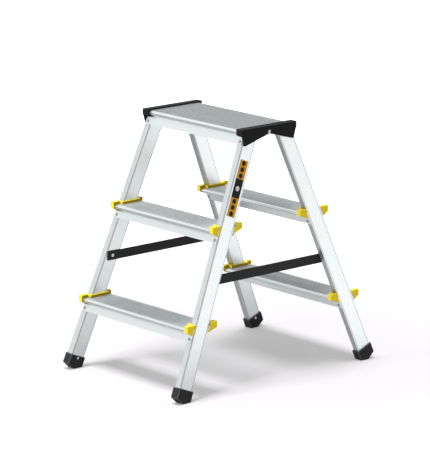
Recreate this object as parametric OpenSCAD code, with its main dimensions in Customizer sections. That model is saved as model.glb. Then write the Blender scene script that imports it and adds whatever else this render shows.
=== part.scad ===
// Double-sided folding step ladder: two leaning aluminium frames that share one top platform.
// The front frame and the platform are riveted together. The rear frame swings on two pins
// under the platform, its stiles rest on the platform's rear apron when it stands open, and
// two webbing straps stop the frames from sliding apart.
// Millimetres. +X to the right, +Y to the back, +Z up, origin on the floor under the platform.

/* [Overall] */
// Height of the platform's tread plate above the floor
platform_height = 626; // [556:5:696]
// Height from one tread to the next
tread_pitch = 225; // [200:5:240]
// Lean of each frame from the vertical, in degrees
lean = 22.3; // [18:0.1:25]
// Width over the stiles at platform height
top_width = 357; // [321:2:401]
// Width over the stiles at the floor
foot_width = 434; // [410:2:460]

/* [Stiles] */
// Depth of the stile tube, across its wide face
stile_depth = 40; // [36:0.5:44]
// Width of the stile tube, across its narrow face
stile_width = 18; // [16:0.5:22]
// Wall of the stile tube
stile_wall = 1.6; // [1.2:0.1:2.2]
// Depth of the grooves along the narrow faces
groove_depth = 0.5; // [0.3:0.1:0.6]
// Width of one groove
groove_width = 1.4; // [1:0.1:1.6]
// Distance from groove to groove
groove_pitch = 4; // [3:0.1:4.6]

/* [Treads] */
// Front to back depth of a tread
tread_depth = 88; // [84:1:100]
// Thickness of the tread and platform plates
plate_thickness = 2.2; // [1.8:0.1:3]
// Height of the rounded nosing at each long edge
nosing_height = 11; // [8:0.5:12]
// Front to back size of the nosing
nosing_depth = 9; // [8:0.5:10]
// How far the aprons reach below the plate's top
apron_drop = 33.5; // [32.5:0.5:38]
// Thickness of an apron
apron_thickness = 1.8; // [1.4:0.1:2.4]
// Height of the anti-slip ribs on a plate
rib_height = 0.7; // [0.5:0.1:1]
// Width of one rib
rib_width = 1.5; // [1.2:0.1:1.8]
// Distance from rib to rib
rib_pitch = 3.2; // [2.8:0.1:4]

/* [Platform] */
// Front to back depth of the platform
deck_depth = 166; // [150:1:190]
// Distance from the platform's edge to the face of the stile under it, at platform height
stile_setback = 13.4; // [11:0.1:18]
// Outer diameter of the screw port under the platform
port_diameter = 9; // [8:0.5:11]
// Depth of the screw port's axis below the plate's top
port_drop = 10.5; // [9:0.5:11.5]
// Thickness of the stiffening webs under the platform
web_thickness = 2; // [1.4:0.1:3]
// Depth of the stiffening webs below the plate
web_drop = 9; // [6:0.5:12]

/* [Tread caps] */
// Height of a cap above the plate's top
cap_rise = 7; // [5:0.5:9]
// How far a cap stands past the nosing
cap_lip = 2.5; // [1:0.5:4]
// How far a cap stands past the stile's outer face
cap_side = 1.2; // [0.6:0.1:2]
// Width of the bar that runs between a stile and the plate's end
cap_bar = 5; // [4:0.5:7]
// Width of a cap's front and rear blocks along the tread
cap_block = 12; // [9:0.5:14]
// Depth of the lip that joins the bar to a block, in front of and behind a stile
cap_return = 6; // [4:0.5:8]
// Depth of a block's outer edge below the plate's top
cap_edge_drop = 8; // [6:0.5:10]
// Depth of a block's tip at the apron below the plate's top
cap_drop = 17; // [14:0.5:18]
// Thickness of a block at its lower tip
cap_toe = 2; // [1.5:0.5:4]
// Length of the tongue that plugs into the tread
tongue_length = 12; // [8:1:20]
// Thickness of the tongue
tongue_thickness = 5; // [3:0.5:7]

/* [End covers] */
// Height of a cover's rim above the plate's top
cover_rise = 4; // [3:0.5:6]
// How far a cover stands past the platform's nosing
cover_lip = 5; // [3:0.5:8]
// Width of a cover's rim along the platform
rim_width = 20.5; // [19:0.5:24]
// Depth of the rim's two noses below the plate's top
nose_drop = 15; // [13:0.5:17]
// Thickness of the outer cheek
cheek_thickness = 4; // [3.6:0.1:5]
// Thickness of the inner cheek
inner_cheek_thickness = 3; // [2.4:0.1:3.6]
// Depth of the cheek's two arms below the plate's top
arm_drop = 36.5; // [35:0.5:42]
// Depth of the cheek at its middle below the plate's top
cheek_middle_drop = 15.5; // [15:0.5:18]
// Depth of the cheek's straight front and rear edges below the plate's top
cheek_edge_drop = 6; // [4:0.5:16]
// How far an arm's tip is drawn in from the cover's end
arm_inset = 9; // [6:0.5:12]
// Width of an arm's tip
arm_tip = 3; // [2:0.5:8]

/* [Hinge] */
// Diameter of a pin
pin_diameter = 8; // [7:0.5:9]
// Diameter of a pin's head
pin_head_diameter = 13; // [11:0.5:15]
// Thickness of a pin's head
pin_head_thickness = 2; // [1.5:0.1:3]
// Depth of the blind hole that holds a pin's end in the outer cheek
pin_seat = 2.4; // [1.8:0.1:2.6]
// Diameter of a spacing washer
washer_diameter = 15; // [13:0.5:17]
// Thickness of a spacing washer
washer_thickness = 0.9; // [0.6:0.1:1]
// Width of the inner cheek round a pin's axis
boss_width = 22; // [18:1:26]

/* [Feet] */
// Wall of a boot round its stile
boot_wall = 3; // [2.4:0.1:4]
// Height of a boot's upper edge along the stile, from the floor line
boot_height = 35; // [32:0.5:42]
// Length of the boot's flat on the floor
boot_flat = 24; // [18:0.5:26]
// Rise of the boot's toe along the stile, from the floor line
toe_rise = 9; // [6:0.5:12]
// Thickness of the rubber under the stile's end
sole_thickness = 6; // [5:0.5:8]

/* [Straps] */
// Height of a strap's middle above the floor
strap_height = 275; // [262:1:300]
// Width of the webbing
strap_width = 24; // [18:1:28]
// Thickness of the webbing
strap_thickness = 1.6; // [1.2:0.1:2.4]
// Length of webbing past each rivet
strap_tail = 14; // [10:0.5:17]

/* [Rivets and screws] */
// Diameter of a rivet's shank
rivet_diameter = 4; // [3.6:0.1:4.8]
// Diameter of a tread rivet's head
rivet_head_diameter = 8; // [7:0.1:9]
// Diameter of a strap rivet's head
strap_head_diameter = 8.5; // [8:0.5:12]
// Diameter of a boot rivet's head
boot_head_diameter = 6.5; // [6:0.1:8]
// Distance from a boot's upper edge to its rivet, along the stile
boot_rivet_inset = 6; // [5:0.5:9]
// Height of a rivet's head
rivet_head_height = 1.6; // [1.2:0.1:2.2]
// Depth of the tread rivets below the plate's top
rivet_drop = 26; // [25:0.5:27]
// Diameter of a cover screw's shank
screw_diameter = 4; // [3.5:0.1:4.4]
// Diameter of a cover screw's head
screw_head_diameter = 7.5; // [6.5:0.1:8.5]
// Length of a cover screw in the platform's port
screw_bite = 16; // [10:1:24]

/* [Hidden] */
$fn = 48;

// Gap between seated faces that are riveted, clipped or resting on each other
seat_gap = 0.35;
// Radial clearance of pins, rivets and screws in their holes
hole_gap = 0.05;
// Radial clearance of a strap's holes
strap_hole_gap = 0.5;
// Gap between a stile and the webbing on its inner face
strap_gap = 0.9;
// Gap between a stile and the cheeks beside it
cheek_gap = 0.7;
// Gap between a stile's rounded top and the rim over it
top_gap = 2;
// How far every cut runs past the face that it opens
overrun = 1;
// Grooves on each narrow face of a stile
groove_count = 3;
// Thickness of the flat of a rivet's head and the recess that its mandrel leaves
rivet_rim_share = 0.4;
rivet_recess_share = 0.28;
// Swollen end of a blind rivet behind the wall, in diameters of the shank
rivet_bulb_share = 1.35;
rivet_bulb_length_share = 0.9;
// Half width of the bridge between a cover's two cheeks
bridge_half = 12;
// Place of the stiffening webs as shares of half the platform's depth
web_place_shares = [-0.42, 0.42];

slope = tan(lean);
half_depth = stile_depth / 2 / cos(lean);
// Distance between the front and rear stile centre lines at platform height
stile_gap = deck_depth - 2 * (stile_setback + half_depth);
run = platform_height / cos(lean);
spread = (foot_width - top_width) / 2;
flare = atan(spread / run);
strap_tilt = atan(tan(flare) * cos(lean));
stile_half_x = stile_width / 2 / cos(flare);
// How far a stile's inner face leans towards the middle over half its depth
face_skew = half_depth * tan(flare) * sin(lean);
// Distance from a stile's centre line to the middle of the webbing
strap_out = stile_width / 2 + strap_gap + strap_thickness / 2;
apron_run = apron_thickness / cos(lean);
upper_height = platform_height - tread_pitch;
lower_height = upper_height - tread_pitch;
tread_heights = [upper_height, lower_height];
sides = [-1, 1];

// Centre line and faces of a stile at a height above the floor
function center_y(z) = stile_gap / 2 + (platform_height - z) * slope;
function outer_x(z) = top_width / 2 + spread * (platform_height - z) / platform_height;
function inner_x(z) = outer_x(z) - 2 * stile_half_x;
function middle_x(z) = outer_x(z) - stile_half_x;
function along(z) = z / cos(lean) / cos(flare);
// Faces of a front stile near a tread, from the stile's centre line at the plate's top
function front_face(z) = -half_depth + z * slope;
function back_face(z) = half_depth + z * slope;

pivot_drop = plate_thickness + top_gap + stile_depth / 2;
pivot_z = platform_height - pivot_drop;
pivot_y = center_y(pivot_z);
beam_half = inner_x(platform_height) - cover_bar();
cheek_inner_x = outer_x(platform_height - arm_drop) + cheek_gap;
cheek_outer_x = cheek_inner_x + cheek_thickness;
rim_x = cheek_outer_x - rim_width;
plate_half = rim_x - seat_gap;
inner_cheek_x = beam_half + seat_gap;
bridge_top = -plate_thickness - seat_gap;
lip_low = rib_height + seat_gap;
cover_half_depth = deck_depth / 2 + cover_lip;
rim_bottom = seat_gap - plate_thickness;
stile_low = (stile_depth / 2 + boot_wall) * slope + sole_thickness;
foot_rivet_along = boot_height - boot_rivet_inset;
rivet_radius = rivet_diameter / 2 + hole_gap;

// Space that the inner cheek and the washer take beside a stile
function cover_bar() = inner_cheek_thickness + seat_gap + washer_thickness + cheek_gap;
// Half length of a tread's plate between the caps' bars, and past the stiles
function tread_half(z) = inner_x(z + cap_rise) - cap_bar - seat_gap;
function tread_reach(z) = outer_x(z) - cap_block - seat_gap;

// Draws a front to back outline and pulls it along X
module along_x(length) {
    rotate([90, 0, 90])
        linear_extrude(length, center = true) children();
}

module from_x(low, high) {
    translate([(low + high) / 2, 0, 0]) along_x(high - low) children();
}

module rear() {
    rotate([0, 0, 180]) children();
}

module at_tread(z) {
    translate([0, -center_y(z), z]) children();
}

module on_stile(side) {
    translate([0, -center_y(0), 0]) rotate([-lean, 0, 0])
        translate([side * middle_x(0), 0, 0]) rotate([0, -side * flare, 0]) children();
}

// Places along a stile's inner face, with +Z pointing out of that face
module on_inner_face(side, distance) {
    on_stile(side) translate([-side * stile_width / 2, 0, distance])
        rotate([0, -side * 90, 0]) children();
}

// Places on the front or the rear apron of a tread, with +Z pointing out of the apron
module on_front_apron(side, z) {
    translate([side * middle_x(z - rivet_drop), front_face(-rivet_drop) - seat_gap - apron_run,
        -rivet_drop]) rotate([90 - lean, 0, 0]) children();
}

module on_rear_apron(side, z) {
    translate([side * middle_x(z - rivet_drop), back_face(-rivet_drop) + seat_gap + apron_run,
        -rivet_drop]) rotate([-90 - lean, 0, 0]) children();
}

// Blind rivet along +Z: its head sits on z = 0 and its grip ends behind the wall
module rivet(grip, head_diameter) {
    rim = rivet_head_height * rivet_rim_share;
    recess = head_diameter * rivet_recess_share / 2;
    bulb = rivet_diameter * rivet_bulb_length_share;
    difference() {
        union() {
            cylinder(h = rim, d = head_diameter);
            translate([0, 0, rim])
                cylinder(h = rivet_head_height - rim, d1 = head_diameter, d2 = rivet_diameter);
            translate([0, 0, -grip - bulb])
                cylinder(h = grip + bulb + rim / 2, d = rivet_diameter);
            translate([0, 0, -grip - bulb])
                cylinder(h = bulb, d = rivet_diameter * rivet_bulb_share);
        }
        translate([0, 0, rim]) cylinder(h = rivet_head_height, r = recess);
    }
}

module rivet_hole(reach) {
    translate([0, 0, -reach]) cylinder(h = 2 * reach, r = rivet_radius);
}

apron_grip = apron_thickness + seat_gap + stile_wall + seat_gap;
inner_grip = stile_wall + seat_gap;

// Rounded nosing at the front edge of a plate of the given depth
module nosing(depth) {
    r = nosing_height / 2;
    translate([-depth / 2 + r, -r]) circle(r);
    translate([-depth / 2 + r, -nosing_height]) square([nosing_depth - r, nosing_height]);
}

module plate(depth) {
    translate([-depth / 2 + nosing_height / 2, -plate_thickness])
        square([depth - nosing_height, plate_thickness]);
    nosing(depth);
    mirror([1, 0]) nosing(depth);
    field = depth - 2 * nosing_depth - rib_pitch;
    count = floor(field / rib_pitch);
    for (i = [0 : count])
        translate([(i - count / 2) * rib_pitch - rib_width / 2, -plate_thickness / 2])
            square([rib_width, plate_thickness / 2 + rib_height]);
}

// Slanted apron against the front face of a front stile, from one depth to another
module front_apron(top) {
    polygon([[front_face(-top) - seat_gap, -top],
        [front_face(-apron_drop) - seat_gap, -apron_drop],
        [front_face(-apron_drop) - seat_gap - apron_run, -apron_drop],
        [front_face(-top) - seat_gap - apron_run, -top]]);
}

module rear_apron(top) {
    polygon([[back_face(-top) + seat_gap, -top],
        [back_face(-apron_drop) + seat_gap, -apron_drop],
        [back_face(-apron_drop) + seat_gap + apron_run, -apron_drop],
        [back_face(-top) + seat_gap + apron_run, -top]]);
}

// Space in a tread's plate for the stile and the bar beside it
module stile_notch() {
    polygon([[front_face(overrun) - seat_gap, overrun], [back_face(overrun) + seat_gap, overrun],
        [back_face(-nosing_height) + seat_gap, -nosing_height],
        [front_face(-nosing_height) - seat_gap, -nosing_height]]);
}

module tread(z) {
    color("gainsboro") at_tread(z) difference() {
        union() {
            along_x(2 * tread_half(z)) plate(tread_depth);
            along_x(2 * tread_reach(z)) {
                difference() {
                    plate(tread_depth);
                    stile_notch();
                }
                front_apron(plate_thickness / 2);
                rear_apron(plate_thickness / 2);
            }
            along_x(2 * outer_x(z)) {
                front_apron(plate_thickness);
                rear_apron(plate_thickness);
            }
        }
        for (side = sides) {
            on_front_apron(side, z) rivet_hole(apron_thickness + overrun);
            on_rear_apron(side, z) rivet_hole(apron_thickness + overrun);
        }
    }
}

// Outline of a front block of a tread's cap; it fills the corner in front of the apron
module front_wedge(depth, lip, rise, edge, drop, toe) {
    outer = -seat_gap - apron_run - seat_gap;
    polygon([[-depth / 2 - lip, rise],
        [front_face(rim_bottom) - seat_gap, rise],
        [front_face(rim_bottom) - seat_gap, rim_bottom],
        [front_face(rim_bottom) + outer, rim_bottom],
        [front_face(-drop) + outer, -drop],
        [front_face(-drop) + outer - toe, -drop],
        [-depth / 2 - lip, -edge]]);
}

module rear_wedge(depth, lip, rise, edge, drop, toe) {
    outer = seat_gap + apron_run + seat_gap;
    polygon([[depth / 2 + lip, rise],
        [back_face(rise) + seat_gap, rise],
        [back_face(rise) + seat_gap, rim_bottom],
        [back_face(rim_bottom) + outer, rim_bottom],
        [back_face(-drop) + outer, -drop],
        [back_face(-drop) + outer + toe, -drop],
        [depth / 2 + lip, -edge]]);
}

// Yellow plastic end of a tread: a bar beside the stile, a block on each side of it, the lips
// that join them over the plate and a tongue
module tread_cap(side, z) {
    low_x = tread_half(z) + seat_gap;
    bar_x = inner_x(z + cap_rise) - face_skew - seat_gap;
    block_x = outer_x(z) - cap_block;
    high_x = outer_x(z) + cap_side;
    lip_front = front_face(lip_low) - seat_gap;
    lip_back = back_face(cap_rise) + seat_gap;
    tongue_top = plate_thickness + seat_gap;
    tongue_low = tongue_top + tongue_thickness;
    tongue_front = front_face(-plate_thickness) + seat_gap;
    tongue_back = back_face(-tongue_low) - seat_gap;
    color("gold") at_tread(z) mirror([side < 0 ? 1 : 0, 0, 0]) {
        from_x(block_x, high_x) {
            front_wedge(tread_depth, cap_lip, cap_rise, cap_edge_drop, cap_drop, cap_toe);
            rear_wedge(tread_depth, cap_lip, cap_rise, cap_edge_drop, cap_drop, cap_toe);
        }
        from_x(low_x, block_x + overrun) {
            translate([lip_front - cap_return, lip_low]) square([cap_return, cap_rise - lip_low]);
            translate([lip_back, lip_low]) square([cap_return, cap_rise - lip_low]);
        }
        from_x(low_x, bar_x) {
            translate([lip_front - cap_return, lip_low])
                square([lip_back - lip_front + 2 * cap_return, cap_rise - lip_low]);
            polygon([[front_face(rib_height), cap_rise], [front_face(rib_height), rim_bottom],
                [back_face(rim_bottom), rim_bottom], [back_face(rim_bottom), cap_rise]]);
            polygon([[tongue_front, cap_rise], [tongue_front, -tongue_low],
                [tongue_back, -tongue_low], [tongue_back, cap_rise]]);
        }
        from_x(low_x - tongue_length, bar_x)
            polygon([[tongue_front, -tongue_top], [tongue_front, -tongue_low],
                [tongue_back, -tongue_low], [tongue_back, -tongue_top]]);
    }
}

module stile_outline() {
    difference() {
        square([stile_width, stile_depth], center = true);
        square([stile_width - 2 * stile_wall, stile_depth - 2 * stile_wall], center = true);
        for (face = sides, i = [0 : groove_count - 1])
            translate([(i - (groove_count - 1) / 2) * groove_pitch, face * stile_depth / 2])
                square([groove_width, 2 * groove_depth], center = true);
    }
}

// Aluminium tube from the boot's sole to the rounded top round its pin
module front_stile(side, at_front) {
    reach = along(pivot_z) + stile_depth;
    color("whitesmoke") difference() {
        intersection() {
            on_stile(side) translate([0, 0, stile_low])
                linear_extrude(reach - stile_low) stile_outline();
            union() {
                translate([0, -pivot_y, pivot_z]) rotate([0, 90, 0])
                    cylinder(h = 2 * foot_width, d = stile_depth, center = true);
                translate([0, -pivot_y, pivot_z]) rotate([-lean, 0, 0])
                    translate([-foot_width, -stile_depth, -reach])
                        cube([2 * foot_width, 2 * stile_depth, reach]);
            }
        }
        translate([side * middle_x(pivot_z), -pivot_y, pivot_z]) rotate([0, 90, 0])
            cylinder(h = 2 * stile_width, d = pin_diameter + 2 * hole_gap, center = true);
        for (z = tread_heights) at_tread(z) {
            on_front_apron(side, z) rivet_hole(apron_grip + overrun);
            on_rear_apron(side, z) rivet_hole(apron_grip + overrun);
        }
        if (at_front)
            at_tread(platform_height) on_front_apron(side, platform_height)
                rivet_hole(apron_grip + overrun);
        on_inner_face(side, along(strap_height)) rivet_hole(inner_grip + overrun);
        on_inner_face(side, foot_rivet_along) rivet_hole(inner_grip + overrun);
    }
}

module platform_deck() {
    color("darkgray") translate([0, 0, platform_height]) difference() {
        union() {
            along_x(2 * plate_half) {
                plate(deck_depth);
                translate([-stile_gap / 2, 0]) front_apron(plate_thickness / 2);
                mirror([1, 0]) translate([-stile_gap / 2, 0]) front_apron(plate_thickness / 2);
            }
            along_x(2 * beam_half) {
                translate([0, -port_drop]) circle(d = port_diameter);
                translate([-web_thickness / 2, -port_drop])
                    square([web_thickness, port_drop - plate_thickness / 2]);
                for (place = web_place_shares)
                    translate([place * deck_depth / 2 - web_thickness / 2, -plate_thickness - web_drop])
                        square([web_thickness, web_drop + plate_thickness / 2]);
            }
            along_x(top_width) {
                translate([-stile_gap / 2, 0]) front_apron(plate_thickness);
                mirror([1, 0]) translate([-stile_gap / 2, 0]) front_apron(plate_thickness);
            }
        }
        translate([0, 0, -port_drop]) rotate([0, 90, 0])
            cylinder(h = top_width, d = screw_diameter + 2 * hole_gap, center = true);
        for (side = sides)
            translate([0, -stile_gap / 2, 0]) on_front_apron(side, platform_height)
                rivet_hole(apron_thickness + overrun);
    }
}

// Outline of the outer cheek: an arm over each stile and a shallow middle between them
module outer_cheek() {
    end = cover_half_depth;
    tip = end - arm_inset;
    polygon([[-end, cover_rise], [end, cover_rise], [end, -cheek_edge_drop], [tip, -arm_drop],
        [tip - arm_tip, -arm_drop], [0, -cheek_middle_drop], [arm_tip - tip, -arm_drop],
        [-tip, -arm_drop], [-end, -cheek_edge_drop]]);
}

// Outline of the inner cheek, between the platform's aprons: a beam and a boss round each pin
module inner_cheek() {
    shoulder = pivot_y + boss_width / 2;
    translate([-shoulder, -cheek_middle_drop]) square([2 * shoulder, cheek_middle_drop + bridge_top]);
    for (place = sides) {
        translate([place * pivot_y, -pivot_drop]) circle(d = boss_width);
        translate([place * pivot_y - boss_width / 2, -pivot_drop])
            square([boss_width, pivot_drop + bridge_top]);
    }
}

// Black plastic end of the platform; its two cheeks hold the stiles' pins
module end_cover(side) {
    wedge_depth = 2 * cover_half_depth - stile_gap;
    color("dimgray") translate([0, 0, platform_height]) mirror([side < 0 ? 1 : 0, 0, 0])
        difference() {
            union() {
                from_x(rim_x, cheek_outer_x) {
                    translate([-cover_half_depth, rim_bottom])
                        square([2 * cover_half_depth, cover_rise - rim_bottom]);
                    translate([-stile_gap / 2, 0])
                        front_wedge(wedge_depth, 0, cover_rise, nosing_height, nose_drop, cap_toe);
                    mirror([1, 0]) translate([-stile_gap / 2, 0])
                        front_wedge(wedge_depth, 0, cover_rise, nosing_height, nose_drop, cap_toe);
                }
                from_x(cheek_inner_x, cheek_outer_x) outer_cheek();
                from_x(inner_cheek_x, inner_cheek_x + inner_cheek_thickness) inner_cheek();
                from_x(inner_cheek_x, cheek_outer_x)
                    translate([-bridge_half, -cheek_middle_drop])
                        square([2 * bridge_half, cheek_middle_drop + bridge_top]);
            }
            for (place = sides)
                translate([inner_cheek_x - overrun, place * pivot_y, -pivot_drop]) rotate([0, 90, 0])
                    cylinder(h = cheek_inner_x + pin_seat - inner_cheek_x + overrun,
                        d = pin_diameter + 2 * hole_gap);
            translate([inner_cheek_x - overrun, 0, -port_drop]) rotate([0, 90, 0])
                cylinder(h = cheek_outer_x - inner_cheek_x + 2 * overrun, d = screw_diameter + 2 * hole_gap);
        }
}

// Steel pins along X with their heads inside the platform
module pins(place) {
    color("silver") for (side = sides)
        mirror([side < 0 ? 1 : 0, 0, 0])
            translate([inner_cheek_x - seat_gap / 2, place * pivot_y, pivot_z]) rotate([0, 90, 0]) {
                cylinder(h = cheek_inner_x + pin_seat - inner_cheek_x, d = pin_diameter);
                translate([0, 0, -pin_head_thickness])
                    cylinder(h = pin_head_thickness, d = pin_head_diameter);
            }
}

module hinge_pins() {
    pins(1);
}

module cover_pins() {
    pins(-1);
}

module hinge_washers() {
    face = inner_cheek_x + inner_cheek_thickness;
    color("ivory") for (side = sides, place = sides)
        mirror([side < 0 ? 1 : 0, 0, 0])
            translate([face, place * pivot_y, pivot_z]) rotate([0, 90, 0]) difference() {
                cylinder(h = washer_thickness, d = washer_diameter);
                translate([0, 0, -overrun])
                    cylinder(h = washer_thickness + 2 * overrun, d = pin_diameter + 2 * hole_gap);
            }
}

module cover_screws() {
    color("silver") for (side = sides)
        mirror([side < 0 ? 1 : 0, 0, 0])
            translate([cheek_outer_x, 0, platform_height - port_drop]) rotate([0, 90, 0]) {
                rim = rivet_head_height * rivet_rim_share;
                cylinder(h = rim, d = screw_head_diameter);
                translate([0, 0, rim])
                    cylinder(h = rivet_head_height - rim, d1 = screw_head_diameter, d2 = screw_diameter);
                translate([0, 0, beam_half - screw_bite - cheek_outer_x])
                    cylinder(h = cheek_outer_x - beam_half + screw_bite, d = screw_diameter);
            }
}

// Rubber boot: square to its stile, with a flat on the floor and a raised toe
module front_foot(side) {
    half = stile_depth / 2 + boot_wall;
    heel = half * slope;
    flat_end = half - boot_flat * cos(lean);
    color("dimgray") difference() {
        on_stile(side) rotate([90, 0, 90])
            linear_extrude(stile_width + 2 * boot_wall, center = true)
                polygon([[-half, toe_rise], [-half, boot_height], [half, boot_height],
                    [half, heel - overrun], [flat_end, flat_end * slope - overrun]]);
        translate([-foot_width, -2 * center_y(0), -foot_width])
            cube([2 * foot_width, 2 * center_y(0), foot_width]);
        on_stile(side) translate([0, 0, stile_low - seat_gap]) linear_extrude(boot_height)
            square([stile_width + 2 * seat_gap, stile_depth + 2 * seat_gap], center = true);
        on_inner_face(side, foot_rivet_along) rivet_hole(boot_wall + overrun);
    }
}

// Flat webbing strap from a front stile to the rear stile on the same side
module strap(side) {
    reach = center_y(strap_height) + strap_out * sin(flare) * sin(lean);
    middle_z = strap_height - strap_out * sin(flare) * cos(lean);
    color("black") translate([side * (middle_x(strap_height) - strap_out * cos(flare)), 0, middle_z])
        rotate([0, -side * strap_tilt, 0]) difference() {
            cube([strap_thickness, 2 * (reach + strap_tail), strap_width], center = true);
            for (place = sides)
                translate([0, place * reach, 0]) rotate([0, 90, 0])
                    cylinder(h = strap_thickness + 2 * overrun, d = rivet_diameter + 2 * strap_hole_gap,
                        center = true);
        }
}

// Rivets of one frame; the rear frame's are the same ones turned about +Z
module strap_rivets() {
    lift = strap_gap + strap_thickness + seat_gap;
    color("silver") for (side = sides)
        on_inner_face(side, along(strap_height)) translate([0, 0, lift])
            rivet(inner_grip + lift, strap_head_diameter);
}

module tread_rivets() {
    color("silver") for (side = sides, z = tread_heights) at_tread(z) {
        on_front_apron(side, z) rivet(apron_grip, rivet_head_diameter);
        on_rear_apron(side, z) rivet(apron_grip, rivet_head_diameter);
    }
}

module foot_rivets() {
    color("silver") for (side = sides)
        on_inner_face(side, foot_rivet_along) translate([0, 0, boot_wall])
            rivet(boot_wall + inner_grip, boot_head_diameter);
}

module platform_rivets() {
    color("silver") for (side = sides)
        at_tread(platform_height) on_front_apron(side, platform_height)
            rivet(apron_grip, rivet_head_diameter);
}

platform_deck();
front_stile(-1, true);  // front_left_stile
front_stile(1, true);  // front_right_stile
rear() front_stile(1, false);  // rear_left_stile
rear() front_stile(-1, false);  // rear_right_stile
tread(upper_height);  // front_upper_tread
tread(lower_height);  // front_lower_tread
rear() tread(upper_height);  // rear_upper_tread
rear() tread(lower_height);  // rear_lower_tread
tread_cap(-1, upper_height);  // front_upper_left_cap
tread_cap(1, upper_height);  // front_upper_right_cap
tread_cap(-1, lower_height);  // front_lower_left_cap
tread_cap(1, lower_height);  // front_lower_right_cap
rear() tread_cap(1, upper_height);  // rear_upper_left_cap
rear() tread_cap(-1, upper_height);  // rear_upper_right_cap
rear() tread_cap(1, lower_height);  // rear_lower_left_cap
rear() tread_cap(-1, lower_height);  // rear_lower_right_cap
end_cover(-1);  // left_end_cover
end_cover(1);  // right_end_cover
front_foot(-1);  // front_left_foot
front_foot(1);  // front_right_foot
rear() front_foot(1);  // rear_left_foot
rear() front_foot(-1);  // rear_right_foot
strap(-1);  // left_strap
strap(1);  // right_strap
strap_rivets();  // front_strap_rivets
rear() strap_rivets();  // rear_strap_rivets
hinge_pins();
cover_pins();
hinge_washers();
cover_screws();
platform_rivets();
tread_rivets();  // front_tread_rivets
rear() tread_rivets();  // rear_tread_rivets
foot_rivets();  // front_foot_rivets
rear() foot_rivets();  // rear_foot_rivets
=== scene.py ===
from math import atan, cos, pi, radians, sin, tan

import bmesh
import bpy
from mathutils import Matrix, Vector


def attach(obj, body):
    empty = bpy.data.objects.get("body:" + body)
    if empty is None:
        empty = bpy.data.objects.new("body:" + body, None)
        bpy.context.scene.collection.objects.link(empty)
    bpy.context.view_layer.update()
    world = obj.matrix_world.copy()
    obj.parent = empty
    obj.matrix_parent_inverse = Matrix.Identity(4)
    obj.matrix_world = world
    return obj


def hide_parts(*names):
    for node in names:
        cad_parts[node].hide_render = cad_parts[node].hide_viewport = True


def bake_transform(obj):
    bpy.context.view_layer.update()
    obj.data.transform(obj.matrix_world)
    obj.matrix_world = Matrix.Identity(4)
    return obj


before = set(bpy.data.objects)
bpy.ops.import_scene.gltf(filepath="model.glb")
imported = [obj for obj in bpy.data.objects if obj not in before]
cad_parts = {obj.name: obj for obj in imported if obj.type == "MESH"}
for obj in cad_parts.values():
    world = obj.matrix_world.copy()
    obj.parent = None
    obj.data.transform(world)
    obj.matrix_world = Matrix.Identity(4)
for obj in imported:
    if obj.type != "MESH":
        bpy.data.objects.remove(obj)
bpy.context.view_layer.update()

# Stiles
# The four legs are drawn aluminium tubes with rounded corners and three fine grooves along each
# narrow face. Each is cut square at the foot, rounded at the top round its pin, and left satin.
# Painted shade darkens the rounded corners, a line by each edge of the wide faces and the grooves
# of the inner narrow faces, and a painted dark reflection darkens the inner narrow faces.
mm = 0.001
lean = radians(22.3)
platform_z = 626 * mm
stile_gap = 95.967 * mm
stile_depth = 40 * mm
stile_corner = 1.9 * mm
stile_groove = 0.5 * mm
groove_slack = 0.05 * mm
stile_axis = (stile_gap / 2 + platform_z * tan(lean)) * cos(lean)
tube_edge_least = 300 * mm
wide_area_least = 0.005
wide_facing = 0.9
narrow_facing = 0.3
flat_turn = radians(0.5)
curve_turn_least = radians(1)
curve_turn_most = radians(28)
corner_turn = radians(30)
crease_turn = radians(40)
edge_line = 1.5 * mm
edge_line_shade = 0.8
corner_shade = 0.35
inner_dark_reflection = 0.45
stile_groove_shade = 0.8
grain_across = 1300
grain_along = 5
stile_pale = (0.90, 0.935, 0.937, 1)
stile_dull = (0.83, 0.868, 0.872, 1)
stile_shade = (0.30, 0.31, 0.315, 1)


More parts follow.
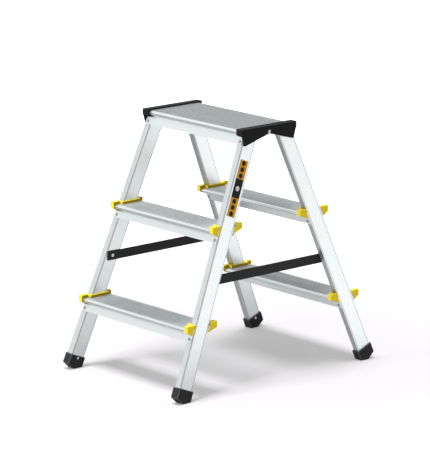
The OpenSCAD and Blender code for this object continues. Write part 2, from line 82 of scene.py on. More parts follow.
class Wire:
    """A value on its way through a finish's nodes. Maths on wires adds Math nodes."""

    def __init__(self, tree, socket=None):
        self.tree = tree
        self.socket = socket

    def add(self, kind, settings=None, inputs=None, out=0):
        """A new node, with its settings and then its inputs, as the wire of one output."""
        made = self.tree.nodes.new(kind)
        for name, value in (settings or {}).items():
            setattr(made, name, value)
        for name, value in (inputs or {}).items():
            if isinstance(value, Wire):
                self.tree.links.new(value.socket, made.inputs[name])
            else:
                made.inputs[name].default_value = value
        return Wire(self.tree, made.outputs[out]) if made.outputs else None

    def out(self, name):
        """Another output of the node that this wire comes from."""
        return Wire(self.tree, self.socket.node.outputs[name])

    def maths(self, operation, *values):
        return self.add("ShaderNodeMath", {"operation": operation}, dict(enumerate(values)))

    def __add__(self, other):
        return self.maths("ADD", self, other)

    def __sub__(self, other):
        return self.maths("SUBTRACT", self, other)

    def __rsub__(self, other):
        return self.maths("SUBTRACT", other, self)

    def __mul__(self, other):
        return self.maths("MULTIPLY", self, other)

    def __gt__(self, other):
        return self.maths("GREATER_THAN", self, other)

    def __lt__(self, other):
        return self.maths("LESS_THAN", self, other)

    def __abs__(self):
        return self.maths("ABSOLUTE", self)

    __radd__ = __add__
    __rmul__ = __mul__

    def most(self, other):
        return self.maths("MAXIMUM", self, other)

    def sine(self):
        return self.maths("SINE", self)

    def dot(self, direction):
        return self.add("ShaderNodeVectorMath", {"operation": "DOT_PRODUCT"},
                        {0: self, 1: direction}, "Value")

    def mark(self, name):
        """The value that each face of the mesh carries under a name."""
        return self.add("ShaderNodeAttribute", {"attribute_name": name}, {}, "Fac")

    def noise(self, scale, detail, rough=0.5):
        return self.add("ShaderNodeTexNoise", {}, {"Vector": self, "Scale": scale,
                        "Detail": detail, "Roughness": rough}, "Fac")

    def tint(self, low, high):
        """The colour that lies at this wire's value between two colours."""
        return self.add("ShaderNodeMix", {"data_type": "RGBA"}, {0: self, 6: low, 7: high}, 2)

    def ramp(self, low, high):
        """0 up to one value, 1 from another on, and a soft rise between."""
        return self.add("ShaderNodeMapRange", {"interpolation_type": "SMOOTHSTEP"},
                        {0: self, 1: low, 2: high, 3: 0.0, 4: 1.0}, "Result")

    def bump(self, strength, distance):
        return self.add("ShaderNodeBump", {}, {"Height": self, "Strength": strength,
                        "Distance": distance}, "Normal")

    def surface(self, inputs):
        """Ends a finish with its one shader."""
        skin = self.add("ShaderNodeBsdfPrincipled", {}, inputs, "BSDF")
        skin.add("ShaderNodeOutputMaterial", {}, {"Surface": skin})


def new_finish(name):
    """An empty material and the wire of its Object coordinates."""
    finish = bpy.data.materials.new(name)
    finish.use_nodes = True
    finish.node_tree.nodes.clear()
    return finish, Wire(finish.node_tree).add("ShaderNodeTexCoord", out="Object")


def drawn_aluminium(name, turn):
    """Satin aluminium with faint lines along a stile that leans by turn times the lean.

    Faces marked on the mesh are darker: painted shade on the rounded corners and in the grooves of
    the inner narrow faces, and a painted dark reflection on these faces. A line of painted shade
    runs by each edge of the wide faces."""
    finish, place = new_finish(name)
    across = place.dot((0, cos(lean), -turn * sin(lean)))
    along = place.dot((0, turn * sin(lean), cos(lean)))
    from_axis = abs(across + turn * stile_axis)
    flat_end = stile_depth / 2 - stile_corner
    # A line of painted shade by each edge of the wide faces
    line = place.mark("wide") * (from_axis > flat_end - edge_line) * (from_axis < flat_end)
    dark = place.mark("dark").most(line * edge_line_shade)
    lines = place.add("ShaderNodeCombineXYZ", {}, {0: place.dot((grain_across, 0, 0)),
                      1: across * grain_across, 2: along * grain_along})
    grain = lines.noise(1.0, detail=3.0, rough=0.6)
    handling = place.noise(14.0, detail=3.0)
    skin = (grain * 0.5 + handling * 0.5).tint(stile_dull, stile_pale)
    place.surface({"Base Color": dark.tint(skin, stile_shade), "Metallic": 0.92,
                   "Roughness": 0.27 + grain * 0.1 + handling * 0.06,
                   "Normal": grain.bump(0.12, 0.1 * mm)})
    return finish


def sewn_copy(node, merge=0.002 * mm):
    """A CAD solid with its loose triangles sewn up, flat faces made whole and curves smooth."""
    shell = bmesh.new()
    shell.from_mesh(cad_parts[node].data)
    bmesh.ops.remove_doubles(shell, verts=shell.verts, dist=merge)
    bmesh.ops.dissolve_limit(shell, angle_limit=flat_turn, verts=shell.verts[:],
                             edges=shell.edges[:], use_dissolve_boundaries=False, delimit=set())
    for face in shell.faces:
        face.smooth = any(curve_turn_least < edge.calc_face_angle(0) < curve_turn_most
                          for edge in face.edges)
    return shell


def corners(shell, least):
    """The outward corners of a shell that are longer than a length."""
    return [edge for edge in shell.edges if edge.is_convex and edge.calc_length() > least
            and edge.calc_face_angle(0) > corner_turn]


def round_over(shell, edges, radius, steps=3, clamp=True):
    """Rounds edges to a radius and returns the faces that this makes."""
    made = bmesh.ops.bevel(shell, geom=edges, offset=radius, offset_type="OFFSET", segments=steps,
                           profile=0.5, affect="EDGES", material=-1, clamp_overlap=clamp)
    for face in made["faces"]:
        face.smooth = True
    return made["faces"]


def settle(shell, name, finish):
    """Makes the finished object of a shell, with crisp shading at its corners."""
    for edge in shell.edges:
        edge.smooth = edge.calc_face_angle(0) < crease_turn
    mesh = bpy.data.meshes.new(name)
    shell.to_mesh(mesh)
    shell.free()
    mesh.materials.append(finish)
    piece = bpy.data.objects.new(name, mesh)
    bpy.context.scene.collection.objects.link(piece)
    return piece


def is_wide(face):
    """True on the wide faces of a tube and of its bore."""
    return abs(face.normal.x) > wide_facing and face.calc_area() > wide_area_least


def on_wide_face(edge):
    """True where a tube's wide face meets a narrow one."""
    narrow, wide = sorted(edge.link_faces, key=lambda face: abs(face.normal.x))
    return abs(narrow.normal.x) < narrow_facing and is_wide(wide)


stile_finish = {"front": drawn_aluminium("drawn_aluminium_front", 1),
                "rear": drawn_aluminium("drawn_aluminium_rear", -1)}
for end in ("front", "rear"):
    for side in ("left", "right"):
        tube = sewn_copy(f"{end}_{side}_stile")
        dark_layer = tube.faces.layers.float.new("dark")
        wide_layer = tube.faces.layers.float.new("wide")
        outer_edges = [edge for edge in corners(tube, tube_edge_least) if on_wide_face(edge)]
        for face in tube.faces:
            face[wide_layer] = float(is_wide(face))
            # A face's depth behind the tube's inner narrow face
            spot = face.calc_center_median()
            sunk = stile_depth / 2 + abs(spot.y) * cos(lean) + spot.z * sin(lean) - stile_axis
            # Painted shade in the grooves of the inner narrow face, and a painted dark reflection
            # on the rest of that face
            if abs(sunk - stile_groove) < groove_slack:
                face[dark_layer] = stile_groove_shade
            elif abs(face.normal.x) < narrow_facing and sunk < stile_groove:
                face[dark_layer] = inner_dark_reflection
        # Painted shade on the rounded corners
        for face in round_over(tube, outer_edges, stile_corner, clamp=False):
            face[dark_layer] = corner_shade
            face[wide_layer] = 0.0
        stile = settle(tube, f"{end}_{side}_stile_tube", stile_finish[end])
        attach(stile, f"{end}_frame")
        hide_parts(f"{end}_{side}_stile")

# Treads and platform
# Each tread is an extruded channel with a ribbed grey grip field between two bright nosings, which
# have a fine groove along them. Its aprons lap over the stiles' narrow faces and are riveted
# there. The platform is a deeper one.
tread_rise = {"upper": 401 * mm, "lower": 176 * mm}
tread_depth = 88 * mm
deck_depth = 166 * mm
plate_thickness = 2.2 * mm
plate_edge_least = 200 * mm
rib_break = 0.2 * mm
nosing_height = 11 * mm
lip_reach = 1 * mm
groove_top = 4.6 * mm
groove_low = 6.8 * mm
groove_depth = 1.4 * mm
groove_taper = 0.05 * mm
nosing_groove_shade = 0.35
weld = 0.001 * mm
line_along = 4
line_across = 1500
notch_pitch = 6 * mm
notch_rows = 10 * mm
end_reflection_from = 100 * mm
end_reflection_full = 185 * mm
end_reflection_lower = 0.35
end_reflection_upper = 0.75
deck_grip = 1.0
# The treads' grip shares differ from the platform's and from each other as painted light: the
# upper fields are lighter than the lower ones
tread_grip_and_light = {"upper": 0.7, "lower": 0.92}
side_or_up = -0.1
downward = -0.9
tread_pale = (0.89, 0.93, 0.934, 1)
tread_dull = (0.81, 0.852, 0.857, 1)
grip_pale = (0.61, 0.64, 0.642, 1)
grip_dull = (0.24, 0.255, 0.26, 1)
nosing_shade_colour = (0.30, 0.302, 0.305, 1)


def center_y(z):
    """How far a stile's centre line stands from the middle of the ladder at a height."""
    return stile_gap / 2 + (platform_z - z) * tan(lean)


def ribbed_aluminium():
    """Bright extrusion whose grip field, marked on the mesh, is darker and rougher.

    The field of a tread is lighter towards its ends, a painted reflection of the stiles that is
    stronger on the upper treads. The grooves and undersides of the nosings, marked too, are
    darkened with painted shade."""
    finish, place = new_finish("ribbed_aluminium")
    grip = place.mark("grip")
    lines = place.add("ShaderNodeCombineXYZ", {}, {0: place.dot((line_along, 0, 0)),
                      1: place.dot((0, line_across, 0)), 2: place.dot((0, 0, line_across))})
    grain = lines.noise(1.0, detail=3.0, rough=0.6)
    scuffs = place.noise(60.0, detail=4.0, rough=0.65)
    shade = grain * 0.5 + scuffs * 0.5
    bright = shade.tint(tread_dull, tread_pale)
    notches = (place.dot((2 * pi / notch_pitch, 0, 0)).sine()
               * place.dot((0, 2 * pi / notch_rows, 0)).sine())
    speckle = place.noise(150.0, detail=3.0, rough=0.7)
    rough = (shade * 0.4 + speckle * 1.1 + notches * 0.3 - 0.25).tint(grip_dull, grip_pale)
    # Painted reflection of the stiles: the tread fields lighter towards their ends, more on the
    # upper treads
    ends = abs(place.dot((1, 0, 0))).ramp(end_reflection_from, end_reflection_full)
    height = place.dot((0, 0, 1))
    on_tread = height < platform_z - nosing_height
    on_upper = height > tread_rise["upper"] - nosing_height
    end_reflection = ends * on_tread * (end_reflection_lower + on_upper * (end_reflection_upper - end_reflection_lower))
    skin = grip.tint(bright, end_reflection.tint(rough, bright))
    place.surface({"Base Color": place.mark("nosing_shade").tint(skin, nosing_shade_colour),
                   "Metallic": 0.92 - grip * 0.25,
                   "Roughness": 0.26 + grip * 0.1 + grain * 0.1 + scuffs * 0.06,
                   "Normal": (grain * 0.7 + scuffs * 0.3).bump(0.12, 0.1 * mm)})
    return finish


def cut_nosing_grooves(shell, middle, rise, depth):
    """Sinks a groove into the front of each rounded nosing and returns the sunk faces."""
    bead_from = depth / 2 - nosing_height / 4

    def on_bead(face):
        spot = face.calc_center_median()
        return abs(spot.y - middle) > bead_from and spot.z > rise - nosing_height

    for drop in (groove_top, groove_low):
        beads = [face for face in shell.faces if on_bead(face)]
        parts = dict.fromkeys(part for face in beads for part in (*face.verts, *face.edges))
        bmesh.ops.bisect_plane(shell, geom=[*beads, *parts], dist=weld,
                               plane_co=(0, 0, rise - drop), plane_no=(0, 0, 1))
    strips = [face for face in shell.faces if on_bead(face)
              and groove_top < rise - face.calc_center_median().z < groove_low]
    bmesh.ops.inset_region(shell, faces=strips, thickness=groove_taper, depth=-groove_depth,
                           use_even_offset=True, use_boundary=True)
    return strips


tread_finish = ribbed_aluminium()
plates = [("platform_deck", "front_frame", 0, platform_z, deck_depth, deck_grip)]
for end, back in (("front", -1), ("rear", 1)):
    for level, rise in tread_rise.items():
        plates.append((f"{end}_{level}_tread", f"{end}_frame", back * center_y(rise), rise,
                       tread_depth, tread_grip_and_light[level]))
for node, body, middle, rise, depth, grip in plates:
    plate = sewn_copy(node)
    round_over(plate, corners(plate, plate_edge_least), rib_break, steps=1, clamp=False)
    grip_layer = plate.faces.layers.float.new("grip")
    nosing_shade_layer = plate.faces.layers.float.new("nosing_shade")
    # Painted shade in the nosing grooves
    for face in cut_nosing_grooves(plate, middle, rise, depth):
        face[nosing_shade_layer] = nosing_groove_shade
    for face in plate.faces:
        spot = face.calc_center_median()
        in_field = abs(spot.y - middle) < depth / 2 - nosing_height / 2
        on_top = spot.z > rise - plate_thickness / 2
        # The grip share carries painted light on the treads
        if in_field and on_top and face.normal.z > side_or_up:
            face[grip_layer] = grip
        # Painted shade under the nosings
        if face.normal.z < downward and abs(spot.z - rise + nosing_height) < lip_reach:
            face[nosing_shade_layer] = 1.0
    tread = settle(plate, f"{node}_plate", tread_finish)
    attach(tread, body)
    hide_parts(node)

# Tread caps
# The yellow ends of the treads are plastic mouldings pushed into the channels. Each reaches round
# its stile, with a wedge under the nosing in front of it and one behind. Its faces towards the
# tread are darkened with painted shade.
cap_corner = 1.2 * mm
cap_sliver = 0.9 * mm
shade_facing = 0.8
cap_bright = (0.98, 0.79, 0.035, 1)
cap_deep = (0.93, 0.70, 0.025, 1)
cap_shade = (0.42, 0.29, 0.012, 1)


def moulded_plastic(name, deep, bright, marked, gloss, shine, texture, texture_height):
    """Plastic or rubber with a fine moulded texture, and another colour where it is marked."""
    finish, place = new_finish(name)
    cloud = place.noise(35.0, detail=3.0)
    pits = place.noise(texture, detail=2.0, rough=0.6)
    skin = place.mark("mark").tint(cloud.tint(deep, bright), marked)
    place.surface({"Base Color": skin, "Roughness": gloss + cloud * 0.1,
                   "Specular IOR Level": shine, "Normal": pits.bump(0.2, texture_height)})
    return finish


cap_finish = moulded_plastic("yellow_plastic", cap_deep, cap_bright, cap_shade, gloss=0.36,
                             shine=0.15, texture=1800.0, texture_height=0.05 * mm)
for end in ("front", "rear"):
    for level in tread_rise:
        for side in ("left", "right"):
            plug = sewn_copy(f"{end}_{level}_{side}_cap", cap_sliver)
            cap_shade_layer = plug.faces.layers.float.new("mark")
            round_over(plug, corners(plug, 2 * cap_corner), cap_corner)
            inward = 1 if side == "left" else -1
            # Painted shade on the faces towards the tread
            for face in plug.faces:
                face[cap_shade_layer] = float(face.normal.x * inward > shade_facing)
            cap = settle(plug, f"{end}_{level}_{side}_tread_cap", cap_finish)
            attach(cap, f"{end}_frame")
            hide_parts(f"{end}_{level}_{side}_cap")

# End covers
# A black plastic moulding closes each end of the platform. Its rim stands a little above the plate
# and has a shallow panel along its top, and its two cheeks hold the pins of the stiles between
# them.
cover_corner = 1.6 * mm
cover_edge_least = 3.5 * mm
cover_edge_highlight = 0.5
rim_facing = 0.95
rim_area_least = 0.001
rim_border = 4.5 * mm
rim_sink = 0.6 * mm
cover_black = (0.013, 0.0135, 0.014, 1)
cover_grey = (0.020, 0.0205, 0.021, 1)
cover_highlight = (0.06, 0.061, 0.063, 1)
cover_finish = moulded_plastic("black_plastic", cover_black, cover_grey, cover_highlight, gloss=0.6,
                               shine=0.06, texture=1400.0, texture_height=0.08 * mm)
for side in ("left", "right"):
    shroud = sewn_copy(f"{side}_end_cover")
    cover_highlight_layer = shroud.faces.layers.float.new("mark")
    # Painted highlight on the rounded edges
    for face in round_over(shroud, corners(shroud, cover_edge_least), cover_corner):
        face[cover_highlight_layer] = cover_edge_highlight
    rim_top = [face for face in shroud.faces
               if face.normal.z > rim_facing and face.calc_area() > rim_area_least
               and face.calc_center_median().z > platform_z + rim_sink]
    bmesh.ops.inset_region(shroud, faces=rim_top, thickness=rim_border, depth=-rim_sink)
    cover = settle(shroud, f"{side}_platform_cover", cover_finish)
    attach(cover, "front_frame")
    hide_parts(f"{side}_end_cover")

# Hinge pins and washers
# Zinc-plated steel pins carry the stiles' tops inside the covers: the rear ones are the hinge. A
# nylon washer keeps each tube off the inner cheek.
zinc_pale = (0.66, 0.67, 0.69, 1)
zinc_dull = (0.52, 0.53, 0.55, 1)
nylon_pale = (0.84, 0.83, 0.78, 1)
nylon_dull = (0.76, 0.75, 0.70, 1)


def plated_steel():
    """Zinc plate with its fine spangle."""
    finish, place = new_finish("zinc_plate")
    spangle = place.noise(420.0, detail=3.0, rough=0.6)
    place.surface({"Base Color": spangle.tint(zinc_dull, zinc_pale), "Metallic": 0.95,
                   "Roughness": 0.28 + spangle * 0.14, "Normal": spangle.bump(0.1, 0.05 * mm)})
    return finish


zinc = plated_steel()
nylon = moulded_plastic("white_nylon", nylon_dull, nylon_pale, nylon_dull, gloss=0.42,
                        shine=0.35, texture=1600.0, texture_height=0.04 * mm)
for node, name, finish, slot in (("hinge_pins", "hinge_pin_pair", zinc, "pin_steel"),
                                 ("cover_pins", "cover_pin_pair", zinc, "pin_steel"),
                                 ("hinge_washers", "washer_set", nylon, "white_nylon")):
    fitting = settle(sewn_copy(node), name, finish)
    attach(fitting, "front_frame")
    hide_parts(node)

# Rivets
# Blind rivets of bright aluminium join aprons, straps and boots to the tubes. Each has a domed
# flange with the hole that its broken mandrel leaves, darkened with painted shade, and those on
# the aprons have painted shade round their rims.
top_half = 178.5 * mm
spread = 38.5 * mm
flare = atan(spread * cos(lean) / platform_z)
stile_width = 18 * mm
stile_wall = 1.6 * mm
seat_gap = 0.35 * mm
apron_thickness = 1.8 * mm
apron_grip = apron_thickness + stile_wall + 2 * seat_gap
inner_grip = stile_wall + seat_gap
rivet_drop = 26 * mm
rivet_head = 8 * mm
strap_head = 8.5 * mm
boot_head = 6.5 * mm
rivet_dome = 1.6 * mm
rivet_shank = 4 * mm
rivet_bulb = 5.4 * mm
bulb_length = 3.6 * mm
rivet_steps = 24
hole_share = 0.15
dome_outline = ((0.5, 0.0), (0.5, 0.3), (0.44, 0.62), (0.34, 0.86), (0.22, 1.0),
                (hole_share, 0.95), (0.12, 0.4), (0.0, 0.35))
rim_from = 0.38
rim_to = 0.51
rim_shade = 0.75
strap_rise = 275 * mm
strap_along = strap_rise / cos(lean) / cos(flare)
strap_gap = 0.9 * mm
strap_thickness = 1.6 * mm
strap_lift = strap_gap + strap_thickness + seat_gap
boot_wall = 3 * mm
boot_rivet_along = 29 * mm
rivet_pale = (0.83, 0.835, 0.84, 1)
rivet_shade = (0.05, 0.05, 0.052, 1)


def middle_x(z):
    """How far a stile's centre line stands to the side at a height."""
    outer = top_half + spread * (platform_z - z) / platform_z
    return outer - stile_width / 2 / cos(flare)


def turned(angle, axis):
    return Matrix.Rotation(angle, 4, axis)


def on_stile(side):
    """Frame on a front stile's centre line at the floor, with +Z up along the tube."""
    return (Matrix.Translation((0, -center_y(0), 0)) @ turned(-lean, "X")
            @ Matrix.Translation((side * middle_x(0), 0, 0)) @ turned(-side * flare, "Y"))


def on_inner_face(side, along, lift):
    """Frame on a front stile's inner face, with +Z out of that face."""
    return (on_stile(side) @ Matrix.Translation((-side * stile_width / 2, 0, along))
            @ turned(-side * pi / 2, "Y") @ Matrix.Translation((0, 0, lift)))


def on_apron(side, rise, back):
    """Frame on the front or the back apron of a front tread, with +Z out of the apron."""
    half = stile_depth / 2 / cos(lean)
    reach = half + seat_gap + apron_thickness / cos(lean)
    spot = (side * middle_x(rise - rivet_drop),
            -center_y(rise) + back * reach - rivet_drop * tan(lean), rise - rivet_drop)
    return Matrix.Translation(spot) @ turned(-back * pi / 2 - lean, "X")


def add_rivet(shell, seat, head, grip):
    """Spins one blind rivet about +Z of a frame, from its bulb to its domed flange.

    The dome's outline is in shares of the head's width and of the dome's height."""
    older = set(shell.verts)
    low = -grip - bulb_length
    outline = [(0, low), (rivet_bulb / 2, low), (rivet_bulb / 2, -grip), (rivet_shank / 2, -grip),
               (rivet_shank / 2, 0)]
    outline += [(out * head, up * rivet_dome) for out, up in dome_outline]
    dots = [shell.verts.new((r, 0, z)) for r, z in outline]
    edges = [shell.edges.new(pair) for pair in zip(dots, dots[1:])]
    bmesh.ops.spin(shell, geom=dots + edges, cent=(0, 0, 0), axis=(0, 0, 1), angle=2 * pi,
                   steps=rivet_steps, use_merge=True)
    made = [vert for vert in shell.verts if vert not in older]
    bmesh.ops.remove_doubles(shell, verts=made, dist=weld)
    made = [vert for vert in shell.verts if vert not in older]
    bmesh.ops.transform(shell, matrix=seat, verts=made)


def rivet_metal():
    """Bright aluminium, darkened with painted shade in the mandrel holes and rims that are marked
    on the mesh.
    """
    finish, place = new_finish("rivet_metal")
    hollow_shade = place.mark("hollow_shade")
    marks = place.noise(700.0, detail=3.0, rough=0.6)
    place.surface({"Base Color": hollow_shade.tint(rivet_pale, rivet_shade),
                   "Metallic": 0.95 - hollow_shade * 0.3,
                   "Roughness": 0.2 + marks * 0.16 + hollow_shade * 0.25,
                   "Normal": marks.bump(0.12, 0.05 * mm)})
    return finish


rivet_finish = rivet_metal()
sides = (-1, 1)
strap_set = [(on_inner_face(side, strap_along, strap_lift), strap_head, inner_grip + strap_lift)
             for side in sides]
boot_set = [(on_inner_face(side, boot_rivet_along, boot_wall), boot_head, inner_grip + boot_wall)
            for side in sides]
tread_set = [(on_apron(side, rise, back), rivet_head, apron_grip)
             for side in sides for rise in tread_rise.values() for back in sides]
deck_set = [(on_apron(side, platform_z, -1), rivet_head, apron_grip) for side in sides]
half_turn = {"front": Matrix.Identity(4), "rear": turned(pi, "Z")}
rivet_sets = [("front", "platform_rivets", deck_set)]
for end in ("front", "rear"):
    rivet_sets += [(end, f"{end}_strap_rivets", strap_set),
                   (end, f"{end}_tread_rivets", tread_set),
                   (end, f"{end}_foot_rivets", boot_set)]
for end, node, rivets in rivet_sets:
    shell = bmesh.new()
    for seat, head, grip in rivets:
        add_rivet(shell, half_turn[end] @ seat, head, grip)
    bmesh.ops.recalc_face_normals(shell, faces=shell.faces)
    for face in shell.faces:
        face.smooth = True
    hollow_layer = shell.faces.layers.float.new("hollow_shade")
    for seat, head, grip in rivets:
        upright = (half_turn[end] @ seat).inverted()
        for face in shell.faces:
            spot = upright @ face.calc_center_median()
            away = Vector((spot.x, spot.y)).length / head
            on_rim = 0 < spot.z < rivet_dome and rim_from < away < rim_to
            # Painted shade in each mandrel hole, and round the rims of the apron rivets
            if abs(spot.z) < rivet_dome and away < hole_share:
                face[hollow_layer] = 1.0
            elif head == rivet_head and on_rim:
                face[hollow_layer] = rim_shade
    row = settle(shell, f"{node}_heads", rivet_finish)
    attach(row, f"{end}_frame")
    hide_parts(node)

# Cover screws
# One self-tapping screw holds each cover to the platform's port. Its low conical head, with a
# round drive recess, sits on the outer cheek.
recess_rim = 0.7 * mm
recess_depth = 0.9 * mm
threads = sewn_copy("cover_screws")
recess_layer = threads.faces.layers.float.new("hollow_shade")
crowns = sorted(threads.faces, key=lambda face: abs(face.calc_center_median().x))[-2:]
bmesh.ops.inset_individual(threads, faces=crowns, thickness=recess_rim, depth=-recess_depth)
# Painted shade in the drive recesses
for face in crowns:
    face[recess_layer] = 1.0
screws = settle(threads, "cover_screw_pair", rivet_finish)
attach(screws, "front_frame")
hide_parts("cover_screws")

# Feet
# Each tube stands in a black rubber boot, moulded with a flat for the floor and a raised toe, and
# held by one rivet on its inner side.
boot_corner = 1.3 * mm
boot_edge_least = 3.5 * mm
boot_edge_highlight = 0.6
rubber_black = (0.018, 0.0185, 0.019, 1)
rubber_grey = (0.036, 0.0365, 0.037, 1)
rubber_highlight = (0.15, 0.152, 0.155, 1)
rubber = moulded_plastic("black_rubber", rubber_black, rubber_grey, rubber_highlight, gloss=0.65,
                         shine=0.15, texture=900.0, texture_height=0.1 * mm)
for end in ("front", "rear"):
    for side in ("left", "right"):
        boot = sewn_copy(f"{end}_{side}_foot")
        boot_highlight_layer = boot.faces.layers.float.new("mark")
        # Painted highlight on the rounded edges
        for face in round_over(boot, corners(boot, boot_edge_least), boot_corner):
            face[boot_highlight_layer] = boot_edge_highlight
        foot = settle(boot, f"{end}_{side}_boot", rubber)
        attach(foot, f"{end}_frame")
        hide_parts(f"{end}_{side}_foot")

# Straps
# A flat black webbing strap on each side runs from the front tube to the rear one and stops the
# frames from sliding apart. It is woven, cut straight and riveted through its ends.
strap_width = 24 * mm
strap_tail = 14 * mm
strap_selvedge = 0.6 * mm
strap_out = stile_width / 2 + strap_gap + strap_thickness / 2
strap_reach = center_y(strap_rise) + strap_out * sin(flare) * sin(lean)
strap_length = 2 * (strap_reach + strap_tail)
strap_tilt = atan(tan(flare) * cos(lean))
strap_cuts = 64
weave_pitch = 1.3 * mm
weave_squeeze = 1.4
web_black = (0.013, 0.0135, 0.014, 1)
web_grey = (0.042, 0.043, 0.045, 1)


def webbing():
    """Plain weave of black yarn on the strap's own UV map, which is in metres."""
    finish, place = new_finish("webbing")
    cloth = place.add("ShaderNodeUVMap", {"uv_map": "band"}, {}, "UV")
    weft = (cloth.dot((1, 0, 0)) * (2 * pi / weave_pitch)).sine()
    warp = (cloth.dot((0, weave_squeeze, 0)) * (2 * pi / weave_pitch)).sine()
    yarn = weft * warp * 0.5 + 0.5
    fuzz = cloth.noise(2500.0, detail=3.0, rough=0.7)
    place.surface({"Base Color": (yarn * 0.6 + fuzz * 0.4).tint(web_black, web_grey),
                   "Roughness": 0.68 + fuzz * 0.2, "Specular IOR Level": 0.25,
                   "Normal": (yarn * 0.8 + fuzz * 0.2).bump(0.5, 0.25 * mm)})
    return finish


def long_edges(shell, least):
    return [edge for edge in shell.edges if edge.calc_length() > least]


web_finish = webbing()
for side, hand in (("left", -1), ("right", 1)):
    band = bmesh.new()
    bmesh.ops.create_cube(band, size=1)
    bmesh.ops.scale(band, verts=band.verts, vec=(strap_thickness, strap_length, strap_width))
    round_over(band, long_edges(band, strap_reach), strap_selvedge)
    bmesh.ops.subdivide_edges(band, edges=long_edges(band, strap_reach), cuts=strap_cuts,
                              use_grid_fill=True)
    weave_map = band.loops.layers.uv.new("band")
    for face in band.faces:
        for loop in face.loops:
            loop[weave_map].uv = (loop.vert.co.y, loop.vert.co.z + loop.vert.co.x)
    spot = (hand * (middle_x(strap_rise) - strap_out * cos(flare)), 0,
            strap_rise - strap_out * sin(flare) * cos(lean))
    strap_seat = Matrix.Translation(spot) @ turned(-hand * strap_tilt, "Y")
    bmesh.ops.transform(band, matrix=strap_seat, verts=band.verts)
    strap = settle(band, f"{side}_webbing_strap", web_finish)
    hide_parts(f"{side}_strap")
    -strap_reach
    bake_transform(strap)

# Side label
# A printed plastic label is stuck to the outer face of the front right tube. It is an amber strip
# with a row of black dots and, in the middle, a black block with a white dot.
label_width = 26 * mm
label_length = 140 * mm
label_thickness = 0.15 * mm
label_corner = 1.2 * mm
label_rise = 490 * mm
dot_count = 9
dot_radius = 6.2 * mm
block_cells = 3
white_cells = 1
block_from = (dot_count - block_cells) / 2 / dot_count
white_from = (dot_count - white_cells) / 2 / dot_count
label_amber = (0.76, 0.38, 0.015, 1)
label_black = (0.015, 0.015, 0.016, 1)
label_white = (0.82, 0.82, 0.80, 1)


def printed_label():
    """Print on the label's own UV map, which runs from 0 to 1 along it and across it."""
    finish, place = new_finish("printed_label")
    print_at = place.add("ShaderNodeUVMap", {"uv_map": "print"}, {}, "UV")
    along = print_at.dot((1, 0, 0))
    cells = along * dot_count
    step = (cells.maths("FRACT", cells) - 0.5) * (label_length / dot_count)
    off_middle = (print_at.dot((0, 1, 0)) - 0.5) * label_width
    dot = (step * step + off_middle * off_middle) < dot_radius ** 2
    block = (along > block_from) * (along < 1 - block_from)
    ink = block.most(dot).tint(label_amber, label_black)
    bare = dot * (along > white_from) * (along < 1 - white_from)
    wear = place.noise(240.0, detail=3.0)
    place.surface({"Base Color": bare.tint(ink, label_white), "Roughness": 0.42 + wear * 0.12,
                   "Specular IOR Level": 0.1, "Normal": wear.bump(0.04, 0.05 * mm)})
    return finish


sticker = bmesh.new()
bmesh.ops.create_grid(sticker, x_segments=1, y_segments=1, size=0.5)
bmesh.ops.scale(sticker, verts=sticker.verts, vec=(label_length, label_width, 1))
bmesh.ops.bevel(sticker, geom=sticker.verts[:], offset=label_corner, offset_type="OFFSET",
                segments=4, profile=0.5, affect="VERTICES", material=-1)
raised = bmesh.ops.extrude_face_region(sticker, geom=sticker.faces[:])["geom"]
bmesh.ops.translate(sticker, vec=(0, 0, label_thickness),
                    verts=[part for part in raised if isinstance(part, bmesh.types.BMVert)])
bmesh.ops.recalc_face_normals(sticker, faces=sticker.faces)
print_map = sticker.loops.layers.uv.new("print")
for face in sticker.faces:
    for loop in face.loops:
        spot = loop.vert.co
        loop[print_map].uv = (spot.x / label_length + 0.5, spot.y / label_width + 0.5)
label_along = label_rise / cos(lean) / cos(flare)
label_seat = (on_stile(1) @ Matrix.Translation((stile_width / 2, 0, label_along))
              @ turned(pi / 2, "Y") @ turned(pi, "Z"))
bmesh.ops.transform(sticker, matrix=label_seat, verts=sticker.verts)
label = settle(sticker, "side_label", printed_label())
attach(label, "front_frame")

# Studio floor
# A wide sheet of matt white under the ladder, which takes its shadow. The camera sees it rise to
# full white away from the ladder. Polished metal sees it bright under the ladder and off to the
# rear right.
floor_half = 30.0
floor_lift = 0.27
floor_near = 0.45
floor_far = 1.7
mirror_lift = 0.75
mirror_side = (0.75, 0.66, 0)
mirror_near = 0.15
mirror_far = 0.75
under_lift = 0.42
under_near = 0.1
under_far = 0.55
floor_white = (0.505, 0.49, 0.505, 1)
floor_mirrored = (0.33, 0.33, 0.33, 1)


def studio_white():
    """Matt white that also glows, by one share to the camera and by another in reflections."""
    finish, place = new_finish("studio_white")
    path = place.add("ShaderNodeLightPath", out="Is Camera Ray")
    seen = path.most(path.out("Is Transmission Ray"))
    mirror = path.out("Is Glossy Ray")
    away = place.add("ShaderNodeVectorMath", {"operation": "LENGTH"}, {0: place}, "Value")
    fade = away.ramp(floor_near, floor_far)
    side_fade = place.dot(mirror_side).ramp(mirror_near, mirror_far)
    under = 1 - away.ramp(under_near, under_far)
    mirrored = mirror_lift * side_fade + under_lift * under
    lift = seen * (floor_lift + (1 - floor_lift) * fade) + mirror * mirrored
    glow = lift.tint((0, 0, 0, 1), (1, 1, 1, 1))
    place.surface({"Base Color": mirror.tint(floor_white, floor_mirrored), "Roughness": 0.9,
                   "Specular IOR Level": 0.1, "Emission Color": glow, "Emission Strength": 1.0})
    return finish


ground = bmesh.new()
bmesh.ops.create_grid(ground, x_segments=1, y_segments=1, size=floor_half)
floor = settle(ground, "studio_floor", studio_white())

# Studio light
# A soft box hangs overhead, and a smaller one stands low to the front left. The room is white to
# the camera and dimmer as a light. Metal reflects it as white, but darker on the side that the
# photograph is taken from.
room_fill = 0.42
room_back = Vector((0.6, 0.8, 0))
room_dark = Vector((0.735, -0.642, 0.217))
wall_white = 0.97
wall_slope = 0.03
wall_dark = 0.75


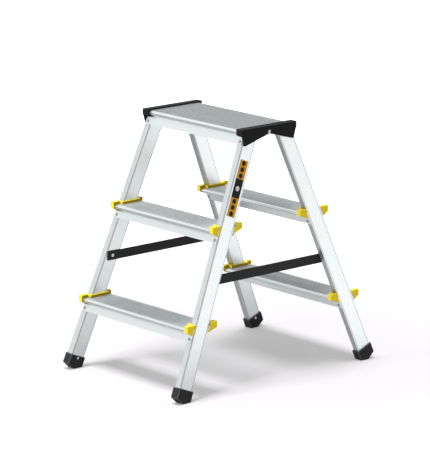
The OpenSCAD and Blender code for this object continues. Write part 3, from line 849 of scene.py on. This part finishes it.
def soft_box(name, spot, aim, size, power):
    """A square lamp that lights the ladder without a reflection of its own."""
    lamp = bpy.data.lights.new(name, "AREA")
    lamp.shape = "SQUARE"
    lamp.size = size
    lamp.energy = power
    holder = bpy.data.objects.new(name, lamp)
    holder.location = spot
    holder.rotation_mode = "QUATERNION"
    holder.rotation_quaternion = (Vector(aim) - Vector(spot)).to_track_quat("-Z", "Y")
    holder.visible_glossy = False
    bpy.context.scene.collection.objects.link(holder)


soft_box("overhead_box", spot=(0, -1.9, 8.0), aim=(0, 0, 0.1), size=2.4, power=690)
soft_box("front_left_box", spot=(-1.6, -4.0, 0.9), aim=(0, 0, 0.35), size=2.0, power=85)
room = bpy.data.worlds.new("white_room")
room.use_nodes = True
room.node_tree.nodes.clear()
room_path = Wire(room.node_tree).add("ShaderNodeLightPath", out="Is Camera Ray")
room_seen = room_path.most(room_path.out("Is Transmission Ray"))
room_turn = room_path.add("ShaderNodeTexCoord", out="Generated")
dark_side = room_turn.dot(room_dark).most(0.0)
wall = (wall_white + wall_slope * room_turn.dot(room_back)
        - wall_dark * dark_side * dark_side * dark_side)
room_level = room_fill + room_path.out("Is Glossy Ray") * (wall - room_fill)
room_glow = room_path.add("ShaderNodeBackground", {}, {"Color": (1, 1, 1, 1),
                          "Strength": room_level + room_seen * (1.0 - room_level)}, "Background")
room_glow.add("ShaderNodeOutputWorld", {}, {"Surface": room_glow})
bpy.context.scene.world = room
bpy.context.scene.view_settings.view_transform = "Standard"

# Camera
# A long lens at the photograph's angle, which looks a little down on the platform and has the
# front right tube nearest. Its focal length is in pixels, for a frame of this height.
camera_spot = Vector((5.62022, -4.88084, 2.08349))
camera_aim = Vector((-0.063243, 0.041871, 0.316194))
camera_roll = radians(-0.131)
sensor = 36
frame_height = 465
focal_length = 3102.349
eye = bpy.data.cameras.new("studio_camera")
eye.sensor_width = sensor
eye.lens = focal_length * sensor / frame_height
camera = bpy.data.objects.new("studio_camera", eye)
facing = (camera_aim - camera_spot).to_track_quat("-Z", "Y").to_matrix().to_4x4()
camera.matrix_world = Matrix.Translation(camera_spot) @ facing @ turned(camera_roll, "Z")
bpy.context.scene.collection.objects.link(camera)
bpy.context.scene.camera = camera
